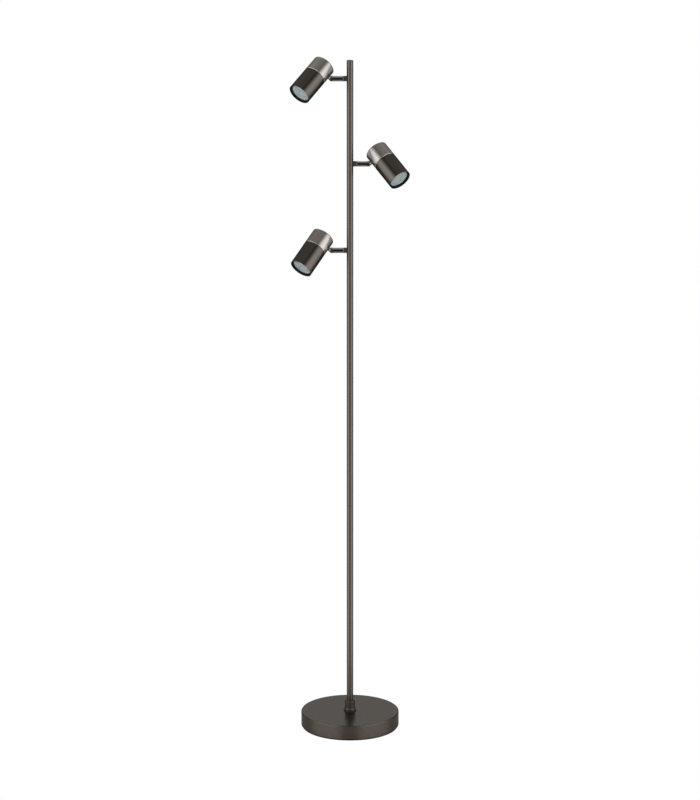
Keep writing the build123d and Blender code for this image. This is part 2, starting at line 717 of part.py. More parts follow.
def make_lampholder(name):
    """Lampholder: a round block with sockets for the lamp's pins and holes for its screws."""
    head = head_frame(name)
    with BuildPart() as lampholder:
        with BuildSketch(head.offset(holder_z)):
            Circle(HOLDER_DIA / 2)
        extrude(amount=HOLDER_H)
        chamfer(lampholder.faces().sort_by(axis_of(head))[-1].edges(), HOLDER_EDGE)
        with BuildSketch(head.offset(bulb_z)):
            with Locations((PIN_SPACING / 2, 0), (-PIN_SPACING / 2, 0)):
                Circle(PIN_HEAD_DIA / 2 + PIN_ROOM)
        extrude(amount=-PIN_L - PIN_ROOM, mode=Mode.SUBTRACT)
        with BuildSketch(head.offset(holder_z)):
            with Locations((0, tab_mid), (0, -tab_mid)):
                Circle(HOLDER_SCREW_DIA / 2 + FIT)
        extrude(amount=HOLDER_SCREW_L - BRACKET_T, mode=Mode.SUBTRACT)
    save(lampholder, f"lampholder_{name}")


def make_bulb(name):
    """Reflector lamp: a neck with two headed pins, a hollow reflector and a rim with a seat for the lens."""
    head = head_frame(name)
    neck_r = BULB_NECK_DIA / 2
    seat_r = LENS_DIA / 2 + FIT
    seat_z = bulb_front - LENS_SINK - LENS_T
    mouth_r = seat_r - LENS_LEDGE
    flare_start = bulb_z + BULB_NECK_L
    flare_end = bulb_front - BULB_RIM_L
    with BuildPart() as bulb:
        with BuildSketch(section_of(head)):
            with BuildLine():
                Polyline((0, flare_start), (0, bulb_z), (neck_r, bulb_z), (neck_r, flare_start))
                SagittaArc((neck_r, flare_start), (bulb_r, flare_end), BULB_BULGE)
                Polyline(
                    (bulb_r, flare_end),
                    (bulb_r, bulb_front),
                    (seat_r, bulb_front),
                    (seat_r, seat_z),
                    (mouth_r, seat_z),
                    (mouth_r, flare_end),
                )
                SagittaArc((mouth_r, flare_end), (neck_r - BULB_WALL, flare_start), -BULB_BULGE)
                Line((neck_r - BULB_WALL, flare_start), (0, flare_start))
            make_face()
        revolve(axis=axis_of(head))
        with BuildSketch(head.offset(bulb_z)):
            with Locations((PIN_SPACING / 2, 0), (-PIN_SPACING / 2, 0)):
                Circle(PIN_DIA / 2)
        extrude(amount=-PIN_L)
        with BuildSketch(head.offset(bulb_z - PIN_L)):
            with Locations((PIN_SPACING / 2, 0), (-PIN_SPACING / 2, 0)):
                Circle(PIN_HEAD_DIA / 2)
        extrude(amount=PIN_HEAD_L)
    save(bulb, f"bulb_{name}")


def make_bulb_lens(name):
    """Lens disc in the rim of the lamp."""
    head = head_frame(name)
    with BuildPart() as bulb_lens:
        with BuildSketch(head.offset(bulb_front - LENS_SINK - LENS_T)):
            Circle(LENS_DIA / 2)
        extrude(amount=LENS_T)
    save(bulb_lens, f"bulb_lens_{name}")


def make_head_lead(name):
    """Lead inside a head, from the back of the lampholder to the tongue's foot."""
    head = head_frame(name)
    with BuildPart() as head_lead:
        with BuildLine(section_of(head)) as route:
            FilletPolyline(
                (0, holder_z),
                (0, tongue_z),
                (tongue_foot_r - TONGUE_FOOT_T - LEAD_END_GAP, tongue_z),
                radius=LEAD_BEND_R,
            )
        with BuildSketch(Plane(route.line @ 0, z_dir=route.line % 0)):
            Circle(LEAD_DIA / 2)
        sweep()
    save(head_lead, f"head_lead_{name}")


for arm_name in ARM_NAMES:
    make_arm_boss(arm_name)
    make_swivel_washer(arm_name)
    make_swivel_stem(arm_name)
    make_swivel_barrel(arm_name)
    make_pivot_screw(arm_name)
    make_rear_cap(arm_name)
    make_body_tube(arm_name)
    make_tongue(arm_name)
    make_holder_bracket(arm_name)
    make_holder_screws(arm_name)
    make_lampholder(arm_name)
    make_bulb(arm_name)
    make_bulb_lens(arm_name)
    make_head_lead(arm_name)
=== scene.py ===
import json
from math import acos, cos, pi, radians, sin, tan

import bmesh
import bpy
import numpy as np
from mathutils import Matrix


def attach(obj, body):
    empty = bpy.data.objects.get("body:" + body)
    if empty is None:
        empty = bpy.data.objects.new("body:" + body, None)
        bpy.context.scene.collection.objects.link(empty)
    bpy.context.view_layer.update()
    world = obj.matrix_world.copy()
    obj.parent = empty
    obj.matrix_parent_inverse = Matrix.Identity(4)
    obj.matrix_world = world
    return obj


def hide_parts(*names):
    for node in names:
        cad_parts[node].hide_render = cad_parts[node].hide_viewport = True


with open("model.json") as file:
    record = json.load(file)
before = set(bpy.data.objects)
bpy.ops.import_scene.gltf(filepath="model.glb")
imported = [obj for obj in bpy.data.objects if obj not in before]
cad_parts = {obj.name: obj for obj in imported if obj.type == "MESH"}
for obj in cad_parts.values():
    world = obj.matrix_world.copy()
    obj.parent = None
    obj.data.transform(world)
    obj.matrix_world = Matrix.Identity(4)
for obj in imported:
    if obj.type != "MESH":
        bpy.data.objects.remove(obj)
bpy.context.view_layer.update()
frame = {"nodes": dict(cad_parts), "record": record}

# Looks of the three-spot floor lamp. Local sizes are in millimetres, and a place turns them into metres.
MM = 0.001
FIT = 0.05

# Radii of lightly broken edges
FAINT_EDGE_R = 0.1
FINE_EDGE_R = 0.2
SMALL_EDGE_R = 0.3

# Points round a turned piece
AROUND = 144
COVER_AROUND = 256
LENS_AROUND = 180

# Base
BASE_R = 112.5
BASE_FOOT = 3.4
BASE_H = 33.0
BASE_TOP = BASE_FOOT + BASE_H
COVER_WALL = 1.2
COVER_EDGE_R = 2.0
STUD_HOLE_R = 5.05

# Inlet bush at the back of the base, measured along its bore from the cover's skin
INLET_HEIGHT = 14.4
BUSH_BORE_R = 3.2
BUSH_MOUTH_EDGE_R = 0.6
BUSH_FLANGE_R = 6.5
BUSH_FLANGE_T = 2.5
BUSH_FLANGE_EDGE_R = 1.2
BUSH_NECK_R = 4.75
BUSH_NECK_L = 1.5
BUSH_BARB_R = 5.75
BUSH_DEPTH = 6.5

# Pole: a collar at the foot, two tubes that meet at a seam and a plug in the top
POLE_R = 7.5
POLE_BORE_R = 6.5
LOWER_TUBE_L = 494.5
UPPER_TUBE_L = 1035.0
POLE_SEAM = BASE_TOP + LOWER_TUBE_L
POLE_TOP = POLE_SEAM + UPPER_TUBE_L
SEAM_EDGE_R = 0.6
PLUG_T = 3.0
PLUG_DEPTH = 10.0
PLUG_EDGE_R = 0.6
COLLAR_R = 11.5
COLLAR_FLANGE_R = 14.5
COLLAR_FLANGE_T = 2.6
COLLAR_FLARE_H = 6.0
COLLAR_FLARE_POINTS = 13
COLLAR_H = 25.7
COLLAR_EDGE_R = 2.6

# Arms, measured out from the pole's axis
ARM_SIDES = {"top": -1, "middle": 1, "low": -1}
ARM_DROPS = {"top": 38.5, "middle": 234.1, "low": 434.5}
ARM_HEIGHTS = {name: POLE_TOP - drop for name, drop in ARM_DROPS.items()}
REST_SWIVELS = {"top": 48.6, "middle": 48.6, "low": 43.2}
REST_TILTS = {"top": 34.3, "middle": 33.0, "low": 31.0}
STUB_R = 6.2
STUB_L = 7.0
STUB_END = POLE_R + STUB_L
STUB_BEVEL = 0.4
STUB_BORE_R = 3.05
SPIGOT_R = 4.0
SPIGOT_END = 5.5
RING_R = 6.5
RING_BORE_R = 3.55
RING_T = 1.0
RING_EDGE_R = 0.25
BARREL_L = 32.0
PIVOT_INSET = 4.6
PIVOT_REACH = STUB_END + RING_T + FIT + BARREL_L - PIVOT_INSET

# Heads, measured along each head from its back
HEAD_R = 26.5
HEAD_L = 99.0
CUP_L = 39.0
CUP_EDGE_R = 3.0
CUP_LIP = 0.8
CUP_END_T = 1.5
CUP_BORE_R = 24.2
CUP_CORNER_R = 0.5
CUP_SPIGOT_L = 6.0
TUBE_BORE_R = 25.5
TUBE_RIM_R = (HEAD_R + TUBE_BORE_R) / 2
TUBE_BACK_EDGE_R = 0.15
TUBE_RIM_EDGE_R = 0.4
TONGUE_AT = 23.2
PIVOT_RADIUS = 33.5

# Lamp in each head, on the head's own measure
LAMP_R = 24.9
LAMP_BACK = 48.0
LAMP_FRONT = 95.0
LAMP_EDGE_R = 0.8
LAMP_NECK_R = 13.0
LAMP_NECK_L = 10.0
LAMP_RIM_L = 9.0
LAMP_NECK_END = LAMP_BACK + LAMP_NECK_L
LAMP_RIM_START = LAMP_FRONT - LAMP_RIM_L
LAMP_WALL = 1.8
LAMP_BULGE = 3.0
LAMP_LEDGE = 1.0

# Lens of each lamp: the fade, start and rise of its relief are shares of the radius
LENS_R = 21.7
LENS_T = 3.0
LENS_SINK = 0.4
LENS_FRONT = LAMP_FRONT - LENS_SINK
LENS_SEAT = LENS_FRONT - LENS_T
LENS_SEAT_R = LENS_R + FIT
LENS_CROWN_SINK = 0.2
LENS_CROWN_H = 0.3
LENS_EDGE_SINK = 0.6
LENS_EDGE_CHAMFER = (0.1, 0.06)
LENS_MARGIN = 0.4
LENS_ROWS = 70
RIPPLE_H = 0.10
RIPPLE_PITCH = 2.6
RIPPLE_FADE = 1 / 12
FLUTE_H = 0.07
FLUTE_COUNT = 30
FLUTE_START = 0.55
FLUTE_RISE = 1 / 8

# Mesh clean-up, in metres and degrees
MERGE_WITHIN = 1e-7
SLIVER = 1e-8
SHARP_ANGLE = 32


def unit(vector):
    """Vector of length one."""
    vector = np.asarray(vector, float)
    return vector / np.linalg.norm(vector)


class Place:
    """Frame of a piece: an origin in millimetres and three axes at right angles."""

    def __init__(self, origin, x, z):
        self.origin = np.asarray(origin, float)
        self.x = unit(x)
        self.z = unit(z)
        self.y = np.cross(self.z, self.x)

    def metres(self, local):
        """Local millimetres to metres in the lamp's frame: origin + x times X + y times Y + z times Z."""
        return MM * (self.origin + local @ np.array([self.x, self.y, self.z]))


UPRIGHT = Place((0, 0, 0), (1, 0, 0), (0, 0, 1))
CORD_INLET = Place((0, BASE_R, INLET_HEIGHT), (-1, 0, 0), (0, 1, 0))


def stub_place(name):
    """Frame on the pole's axis: z runs out along the arm, and x is straight up."""
    return Place((0, 0, ARM_HEIGHTS[name]), (0, 0, 1), (ARM_SIDES[name], 0, 0))


def arm_place(name):
    """Frame on the pole's axis: z runs out along the arm, and x is straight up, swivelled with the barrel."""
    swivel = radians(REST_SWIVELS[name])
    return Place((0, 0, ARM_HEIGHTS[name]), (0, sin(swivel), cos(swivel)), (ARM_SIDES[name], 0, 0))


def head_place(name):
    """Frame at the back of a head: z runs along the head to its lens, and x points to the pivot."""
    arm = arm_place(name)
    tilt = radians(REST_TILTS[name])
    lens_way = sin(tilt) * arm.z - cos(tilt) * arm.x
    pivot_way = -cos(tilt) * arm.z - sin(tilt) * arm.x
    pivot = arm.origin + PIVOT_REACH * arm.z
    return Place(pivot - PIVOT_RADIUS * pivot_way - TONGUE_AT * lens_way, pivot_way, lens_way)


# Shapes


def soften(corners, closed=False, steps=6):
    """Outline through corners given as (x, y, radius): each corner becomes an arc tangent to both its sides.

    The arc of turn t starts radius * tan(t / 2) before the corner. A support point on each side, a third of
    the radius further out, keeps the flats flat under smooth shading.
    """
    corners = np.asarray(corners, float)
    points = corners[:, :2]
    count = len(points)
    outline = []
    for i, (corner, radius) in enumerate(zip(points, corners[:, 2])):
        if radius <= 0 or (not closed and i in (0, count - 1)):
            outline.append(corner[None])
            continue
        came = unit(corner - points[i - 1])
        goes = unit(points[(i + 1) % count] - corner)
        turn = acos(np.clip(came @ goes, -1, 1))
        left = 1 if came[0] * goes[1] - came[1] * goes[0] > 0 else -1
        inward = left * np.array([-came[1], came[0]])
        start = corner - came * radius * tan(turn / 2)
        end = corner + goes * radius * tan(turn / 2)
        swing = np.linspace(0, turn, steps + 1)[:, None]
        arc = start + inward * radius + radius * (came * np.sin(swing) - inward * np.cos(swing))
        outline += [(start - came * radius / 3)[None], arc, (end + goes * radius / 3)[None]]
    return np.concatenate(outline)


def bulging(start, end, sag, steps=20):
    """Bow from start to end, as corners of no radius: the chord plus sag * (1 - (2 t - 1)^2) square to it."""
    start, end = np.asarray(start, float), np.asarray(end, float)
    share = np.linspace(0, 1, steps)[:, None]
    across = unit([end[1] - start[1], start[0] - end[0]])
    line = start + (end - start) * share + across * sag * (1 - (2 * share - 1) ** 2)
    return np.concatenate([line, 0 * share], 1)


def steps_round(count):
    """Angles of equal steps, once round."""
    return np.arange(count) * 2 * pi / count


def circle(radius, height, angle):
    """Points round the z axis: at angle a, (r cos a, r sin a, h)."""
    return np.stack([radius * np.cos(angle), radius * np.sin(angle), height + 0 * angle], -1)


def turned(outline, around=AROUND):
    """Surface of revolution: outline point (r, h) at angle a lies at (r cos a, r sin a, h)."""
    return circle(outline[:, :1], outline[:, 1:], steps_round(around))


def whole(corners, around=AROUND):
    """Solid of revolution from a closed outline, in one finish."""
    return [(turned(soften(corners, closed=True), around), True, 0)]


def joined(*outlines):
    """Solid of revolution from (outline, finish number) pairs: each goes on where the one before it ends."""
    return [(turned(soften(corners)), False, finish) for corners, finish in outlines]


def make_piece(name, patches, place, body, node, finishes):
    """Mesh of one piece, from patches of (grid of local points, whether its rows close, finish number).

    Each grid's neighbours are joined in quads and its columns close round. Points that meet on seams and
    poles are merged, and the faces are turned outwards. The local points are kept as the attribute "own",
    in metres.
    """
    points, faces, marks, first = [], [], [], 0
    for grid, rows_close, finish in patches:
        rows, columns = grid.shape[:2]
        number = first + np.arange(rows * columns).reshape(rows, columns)
        following = np.roll(number, -1, 0) if rows_close else number[1:]
        number = number if rows_close else number[:-1]
        quads = np.stack([number, np.roll(number, -1, 1), np.roll(following, -1, 1), following], -1)
        faces.append(quads.reshape(-1, 4))
        marks.append(np.full(quads.shape[0] * quads.shape[1], finish))
        points.append(grid.reshape(-1, 3))
        first += rows * columns
    local = np.concatenate(points)
    mesh = bpy.data.meshes.new(name)
    mesh.from_pydata(place.metres(local).tolist(), [], np.concatenate(faces).tolist())
    mesh.polygons.foreach_set("material_index", np.concatenate(marks).astype(np.int32))
    own = mesh.attributes.new("own", "FLOAT_VECTOR", "POINT")
    own.data.foreach_set("vector", (MM * local).astype(np.float32).ravel())
    shape = bmesh.new()
    shape.from_mesh(mesh)
    bmesh.ops.remove_doubles(shape, verts=shape.verts, dist=MERGE_WITHIN)
    bmesh.ops.dissolve_degenerate(shape, edges=shape.edges, dist=SLIVER)
    bmesh.ops.recalc_face_normals(shape, faces=shape.faces)
    shape.to_mesh(mesh)
    shape.free()
    mesh.shade_smooth()
    mesh.set_sharp_from_angle(angle=radians(SHARP_ANGLE))
    for finish in finishes:
        mesh.materials.append(finish)
    piece = bpy.data.objects.new(name, mesh)
    bpy.context.scene.collection.objects.link(piece)
    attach(piece, body)
    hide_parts(node)


# Shader maths, with the numbers of the sockets that are picked by place
GENERATED, OBJECT = 0, 3
ATTRIBUTE_VECTOR = 1
MIX_SHARE, MIX_FIRST, MIX_SECOND, MIXED = 0, 6, 7, 2


class Value:
    """An output socket: sums on it add Math nodes to its tree."""

    def __init__(self, kit, socket):
        self.kit = kit
        self.socket = socket

    def sum(self, operation, first, second):
        """One Math node."""
        return self.kit.node("ShaderNodeMath", {"operation": operation}, {0: first, 1: second})[0]

    def __add__(self, other):
        return self.sum("ADD", self, other)

    __radd__ = __add__

    def __rsub__(self, other):
        return self.sum("SUBTRACT", other, self)

    def __mul__(self, other):
        return self.sum("MULTIPLY", self, other)

    __rmul__ = __mul__

    def __abs__(self):
        return self.sum("ABSOLUTE", self, 0)


class Kit:
    """A node tree that is filled by calls."""

    def __init__(self, tree):
        self.tree = tree
        tree.nodes.clear()

    def node(self, kind, settings=None, sockets=None):
        """New node: its settings are set first, then each socket gets a value or a link."""
        node = self.tree.nodes.new(kind)
        for key, setting in (settings or {}).items():
            setattr(node, key, setting)
        for key, value in (sockets or {}).items():
            if isinstance(value, Value):
                self.tree.links.new(value.socket, node.inputs[key])
            else:
                node.inputs[key].default_value = value
        return [Value(self, socket) for socket in node.outputs]

    def coords(self):
        """The piece's place in the lamp."""
        return self.node("ShaderNodeTexCoord")[OBJECT]

    def own_coords(self):
        """The piece's points in its own frame."""
        return self.node("ShaderNodeAttribute", {"attribute_name": "own"})[ATTRIBUTE_VECTOR]

    def stretch(self, coords, by):
        """Coordinates multiplied axis by axis."""
        return self.node("ShaderNodeVectorMath", {"operation": "MULTIPLY"}, {0: coords, 1: by})[0]

    def noise(self, coords, scale, detail=2.0):
        """Cloudy noise from 0 to 1, with scale features in a unit of the coordinates."""
        return self.node("ShaderNodeTexNoise", None, {"Vector": coords, "Scale": scale, "Detail": detail})[0]

    def rise(self, value, low, high):
        """0 below low, 1 above high and a smooth step between."""
        settings = {"interpolation_type": "SMOOTHSTEP"}
        sockets = {"Value": value, "From Min": low, "From Max": high}
        return self.node("ShaderNodeMapRange", settings, sockets)[0]

    def fall(self, value, low, high):
        """1 below low, 0 above high and a smooth step between."""
        return 1 - self.rise(value, low, high)

    def mix(self, share, first, second):
        """Colour between two, by share."""
        sockets = {MIX_SHARE: share, MIX_FIRST: first, MIX_SECOND: second}
        return self.node("ShaderNodeMix", {"data_type": "RGBA"}, sockets)[MIXED]

    def bump(self, height, distance, strength=1.0, width=0.1):
        """Normal of a surface raised by height times distance, in metres."""
        sockets = {"Height": height, "Distance": distance, "Strength": strength, "Filter Width": width}
        return self.node("ShaderNodeBump", None, sockets)[0]


def rgb(r, g, b):
    """Opaque colour, in linear light."""
    return (r, g, b, 1.0)


def white_to_camera(kit, shader):
    """Plain white where the camera looks straight at it, and the given shader for all other light."""
    seen = kit.node("ShaderNodeLightPath")[0]
    white = kit.node("ShaderNodeEmission", None, {"Color": rgb(1, 1, 1), "Strength": 1.0})[0]
    return kit.node("ShaderNodeMixShader", None, {0: seen, 1: shader, 2: white})[0]


def finish(name, sockets, backdrop=False):
    """New material with one shader, whose sockets come from a function of its kit. A backdrop looks white."""
    material = bpy.data.materials.new(name)
    material.use_nodes = True
    kit = Kit(material.node_tree)
    shader = kit.node("ShaderNodeBsdfPrincipled", None, sockets(kit))[0]
    surface = white_to_camera(kit, shader) if backdrop else shader
    kit.node("ShaderNodeOutputMaterial", None, {"Surface": surface})
    return material


# Finishes: a roughness is given as (least, spread), and the noise that moves the colour moves it too
FLAKE_HEIGHT = 0.00002
FLAKE_STRENGTH = 0.35
NO_TINT = rgb(1, 1, 1)
SATIN_TINT = rgb(0.62, 0.62, 0.62)


def bronze(kit):
    """Dark bronze lacquer: fine metal flake under a satin coat."""
    place = kit.coords()
    flake = kit.noise(place, 2600.0)
    cloud = kit.noise(place, 45.0)
    return {
        "Base Color": kit.mix(0.7 * flake + 0.3 * cloud, rgb(0.133, 0.117, 0.101), rgb(0.176, 0.155, 0.135)),
        "Metallic": 0.88,
        "Specular Tint": SATIN_TINT,
        "Roughness": 0.16 + 0.10 * flake + 0.04 * cloud,
        "Normal": kit.bump(flake, FLAKE_HEIGHT, FLAKE_STRENGTH),
    }


def flat_bronze(dark, light, flake_scale, roughness, tint=NO_TINT):
    """Flatter bronze of the small castings and the collar, with fine flake."""
    least, spread = roughness

    def sockets(kit):
        flake = kit.noise(kit.coords(), flake_scale)
        return {
            "Base Color": kit.mix(flake, dark, light),
            "Metallic": 0.55,
            "Specular Tint": tint,
            "Roughness": least + spread * flake,
            "Normal": kit.bump(flake, FLAKE_HEIGHT, FLAKE_STRENGTH),
        }

    return sockets


def nickel(kit):
    """Brushed nickel: fine rings turned round the cup's axis."""
    own = kit.own_coords()
    fine = kit.noise(kit.stretch(own, (60.0, 60.0, 3000.0)), 1.0)
    broad = kit.noise(kit.stretch(own, (25.0, 25.0, 1400.0)), 1.0)
    return {
        "Base Color": kit.mix(0.6 * fine + 0.4 * broad, rgb(0.55, 0.515, 0.48), rgb(0.68, 0.64, 0.60)),
        "Metallic": 1.0,
        "Roughness": 0.27 + 0.10 * fine,
        "Normal": kit.bump(fine, distance=0.00003, width=0.005),
    }


def hazed(dark, light, haze_scale, roughness, metallic=1.0):
    """Plated, silvered or lacquered face with a trace of haze."""
    least, spread = roughness

    def sockets(kit):
        haze = kit.noise(kit.coords(), haze_scale)
        return {
            "Base Color": kit.mix(haze, dark, light),
            "Metallic": metallic,
            "Roughness": least + spread * haze,
        }

    return sockets


def casting(kit):
    """Grey iron as it leaves the sand."""
    grain = kit.noise(kit.coords(), 900.0, detail=6.0)
    return {
        "Base Color": kit.mix(grain, rgb(0.07, 0.07, 0.07), rgb(0.15, 0.145, 0.14)),
        "Metallic": 0.6,
        "Roughness": 0.55 + 0.3 * grain,
        "Normal": kit.bump(grain, distance=0.0004, strength=0.6),
    }


def foam(kit):
    """Black foam rubber with small open cells."""
    cells = kit.noise(kit.coords(), 1800.0, detail=3.0)
    return {
        "Base Color": kit.mix(cells, rgb(0.008, 0.008, 0.008), rgb(0.022, 0.022, 0.022)),
        "Roughness": 0.80 + 0.15 * cells,
        "Normal": kit.bump(cells, distance=0.0002, strength=0.6),
    }


def moulding(dark, light, grain_scale):
    """Moulded plastic or enamel with a fine grain."""

    def sockets(kit):
        grain = kit.noise(kit.coords(), grain_scale, detail=3.0)
        return {
            "Base Color": kit.mix(grain, dark, light),
            "Roughness": 0.42 + 0.16 * grain,
            "Normal": kit.bump(grain, distance=0.00005, strength=0.5),
        }

    return sockets


def pressed_glass(kit):
    """Frosted pressed lens over a silvered reflector: pale, cool and faintly mottled."""
    own = kit.own_coords()
    broad = kit.noise(own, 130.0)
    fine = kit.noise(own, 420.0, detail=3.0)
    mottle = kit.rise(0.6 * broad + 0.4 * fine, 0.35, 0.65)
    return {
        "Base Color": kit.mix(mottle, rgb(0.50, 0.60, 0.605), rgb(0.72, 0.795, 0.80)),
        "Roughness": 0.16 + 0.14 * mottle,
        "Coat Weight": 0.4 + 0.3 * mottle,
    }


BRONZE = finish("bronze_lacquer", bronze)
BROWN_BRONZE = finish(
    "brown_bronze",
    flat_bronze(
        rgb(0.092, 0.075, 0.060),
        rgb(0.138, 0.114, 0.092),
        flake_scale=2200.0,
        roughness=(0.28, 0.12),
    ),
)
TONGUE_BRONZE = finish(
    "tongue_bronze",
    flat_bronze(
        rgb(0.195, 0.152, 0.115),
        rgb(0.285, 0.230, 0.180),
        flake_scale=2200.0,
        roughness=(0.30, 0.12),
    ),
)
COLLAR_BRONZE = finish(
    "collar_bronze",
    flat_bronze(
        rgb(0.090, 0.078, 0.066),
        rgb(0.130, 0.113, 0.096),
        flake_scale=2400.0,
        roughness=(0.30, 0.10),
        tint=SATIN_TINT,
    ),
)
NICKEL = finish("brushed_nickel", nickel)
# Polished chamfer round the cup's lip. Its colour is lighter than the nickel's, a painted highlight for the
# bright line that the chamfer catches.
NICKEL_LIP_PAINTED_HIGHLIGHT = finish(
    "nickel_lip_painted_highlight",
    hazed(rgb(0.78, 0.74, 0.69), rgb(0.88, 0.84, 0.79), haze_scale=900.0, roughness=(0.22, 0.10)),
)
DARK_CHROME = finish(
    "dark_chrome",
    hazed(rgb(0.52, 0.52, 0.53), rgb(0.62, 0.62, 0.63), haze_scale=700.0, roughness=(0.05, 0.06)),
)
BRIGHT_RING = finish(
    "bright_ring",
    hazed(rgb(0.58, 0.57, 0.56), rgb(0.68, 0.67, 0.66), haze_scale=900.0, roughness=(0.10, 0.06)),
)
ZINC = finish(
    "zinc_plate",
    hazed(rgb(0.52, 0.53, 0.55), rgb(0.68, 0.69, 0.70), haze_scale=350.0, roughness=(0.30, 0.15)),
)
CASTING = finish("grey_casting", casting)
FOAM = finish("foam_rubber", foam)
BLACK_PLASTIC = finish("black_moulding", moulding(rgb(0.012, 0.012, 0.012), rgb(0.03, 0.03, 0.03), 1300.0))
PALE_PLASTIC = finish("pale_moulding", moulding(rgb(0.70, 0.69, 0.66), rgb(0.82, 0.81, 0.78), 1300.0))
SLEEVE = finish("lead_sleeve", moulding(rgb(0.62, 0.60, 0.54), rgb(0.74, 0.72, 0.66), 1900.0))
TUBE_BLACK = finish(
    "tube_black",
    hazed(rgb(0.006, 0.006, 0.006), rgb(0.014, 0.013, 0.012), 1500.0, roughness=(0.55, 0.2), metallic=0.0),
)
SILVERED = finish(
    "silvered_glass",
    hazed(rgb(0.60, 0.63, 0.64), rgb(0.78, 0.81, 0.82), 260.0, roughness=(0.12, 0.12), metallic=0.85),
)
LAMP_COAT = finish("lamp_coat", moulding(rgb(0.010, 0.010, 0.011), rgb(0.022, 0.022, 0.024), 1100.0))
LENS_GLASS = finish("pressed_glass", pressed_glass)

SLOT_FINISHES = {
    "bronze_paint": BRONZE,
    "satin_nickel": NICKEL,
    "polished_chrome": DARK_CHROME,
    "zinc_steel": ZINC,
    "cast_iron": CASTING,
    "dark_pad": FOAM,
    "dark_plastic": BLACK_PLASTIC,
    "pale_plastic": PALE_PLASTIC,
    "lead_sleeve": SLEEVE,
    "lamp_body": LAMP_COAT,
    "lens_glass": LENS_GLASS,
}

# Every node takes the finish of its slot, except the tongues, which are a lighter brown
for part in frame["record"]["subparts"]:
    node = frame["nodes"][part["node"]]
    node.data.materials.clear()
    tongue = part["node"].startswith("tongue")
    node.data.materials.append(TONGUE_BRONZE if tongue else SLOT_FINISHES[part["material_slot"]])


# Pieces of the base and the pole: outlines are (radius, height, edge radius)

cover = [
    (STUD_HOLE_R, BASE_TOP, 0),
    (BASE_R, BASE_TOP, COVER_EDGE_R),
    (BASE_R, BASE_FOOT, SMALL_EDGE_R),
    (BASE_R - COVER_WALL, BASE_FOOT, SMALL_EDGE_R),
    (BASE_R - COVER_WALL, BASE_TOP - COVER_WALL, COVER_EDGE_R - COVER_WALL),
    (STUD_HOLE_R, BASE_TOP - COVER_WALL, 0),
]
cover_shell = whole(cover, COVER_AROUND)
make_piece("cover_shell", cover_shell, UPRIGHT, "stand", "base_cover", [BRONZE])


def collar_flare():
    """Quarter of an ellipse from the flange up to the collar's neck, as corners of no radius."""
    angle = np.linspace(1.5 * pi, pi, COLLAR_FLARE_POINTS)
    radius = COLLAR_FLANGE_R + (COLLAR_FLANGE_R - COLLAR_R) * np.cos(angle)
    height = BASE_TOP + COLLAR_FLANGE_T + COLLAR_FLARE_H * (1 + np.sin(angle))
    return np.stack([radius, height, 0 * angle], 1)


collar = [
    (POLE_R + FIT, BASE_TOP, 0),
    (COLLAR_FLANGE_R, BASE_TOP, FINE_EDGE_R),
    *collar_flare(),
    (COLLAR_R, BASE_TOP + COLLAR_H, COLLAR_EDGE_R),
    (POLE_R + FIT, BASE_TOP + COLLAR_H, FINE_EDGE_R),
]
make_piece("collar_bell", whole(collar), UPRIGHT, "stand", "pole_collar", [COLLAR_BRONZE])

lower = [
    (POLE_BORE_R, BASE_TOP, 0),
    (POLE_R, BASE_TOP, 0),
    (POLE_R, POLE_SEAM, SEAM_EDGE_R),
    (POLE_BORE_R, POLE_SEAM, 0),
]
make_piece("lower_tube", whole(lower), UPRIGHT, "stand", "lower_pole", [BRONZE])

upper = [
    (POLE_BORE_R, POLE_SEAM, 0),
    (POLE_R, POLE_SEAM, SEAM_EDGE_R),
    (POLE_R, POLE_TOP, FAINT_EDGE_R),
    (POLE_BORE_R, POLE_TOP, 0),
]
make_piece("upper_tube", whole(upper), UPRIGHT, "stand", "upper_pole", [BRONZE])

plug = [
    (0, POLE_TOP + PLUG_T, 0),
    (POLE_R, POLE_TOP + PLUG_T, PLUG_EDGE_R),
    (POLE_R, POLE_TOP, FAINT_EDGE_R),
    (POLE_BORE_R - FIT, POLE_TOP, 0),
    (POLE_BORE_R - FIT, POLE_TOP - PLUG_DEPTH, SMALL_EDGE_R),
    (0, POLE_TOP - PLUG_DEPTH, 0),
]
make_piece("top_plug", joined((plug, 0)), UPRIGHT, "stand", "pole_cap", [BRONZE])

bush = [
    (BUSH_BORE_R, BUSH_FLANGE_T, BUSH_MOUTH_EDGE_R),
    (BUSH_FLANGE_R, BUSH_FLANGE_T, BUSH_FLANGE_EDGE_R),
    (BUSH_FLANGE_R, 0, FINE_EDGE_R),
    (BUSH_NECK_R, 0, 0),
    (BUSH_NECK_R, -BUSH_NECK_L, 0),
    (BUSH_BARB_R, -BUSH_NECK_L, FAINT_EDGE_R),
    (BUSH_NECK_R, -BUSH_DEPTH, FINE_EDGE_R),
    (BUSH_BORE_R, -BUSH_DEPTH, FINE_EDGE_R),
]
make_piece("inlet_bush", whole(bush), CORD_INLET, "stand", "cord_bush", [BLACK_PLASTIC])


# Pieces of each arm


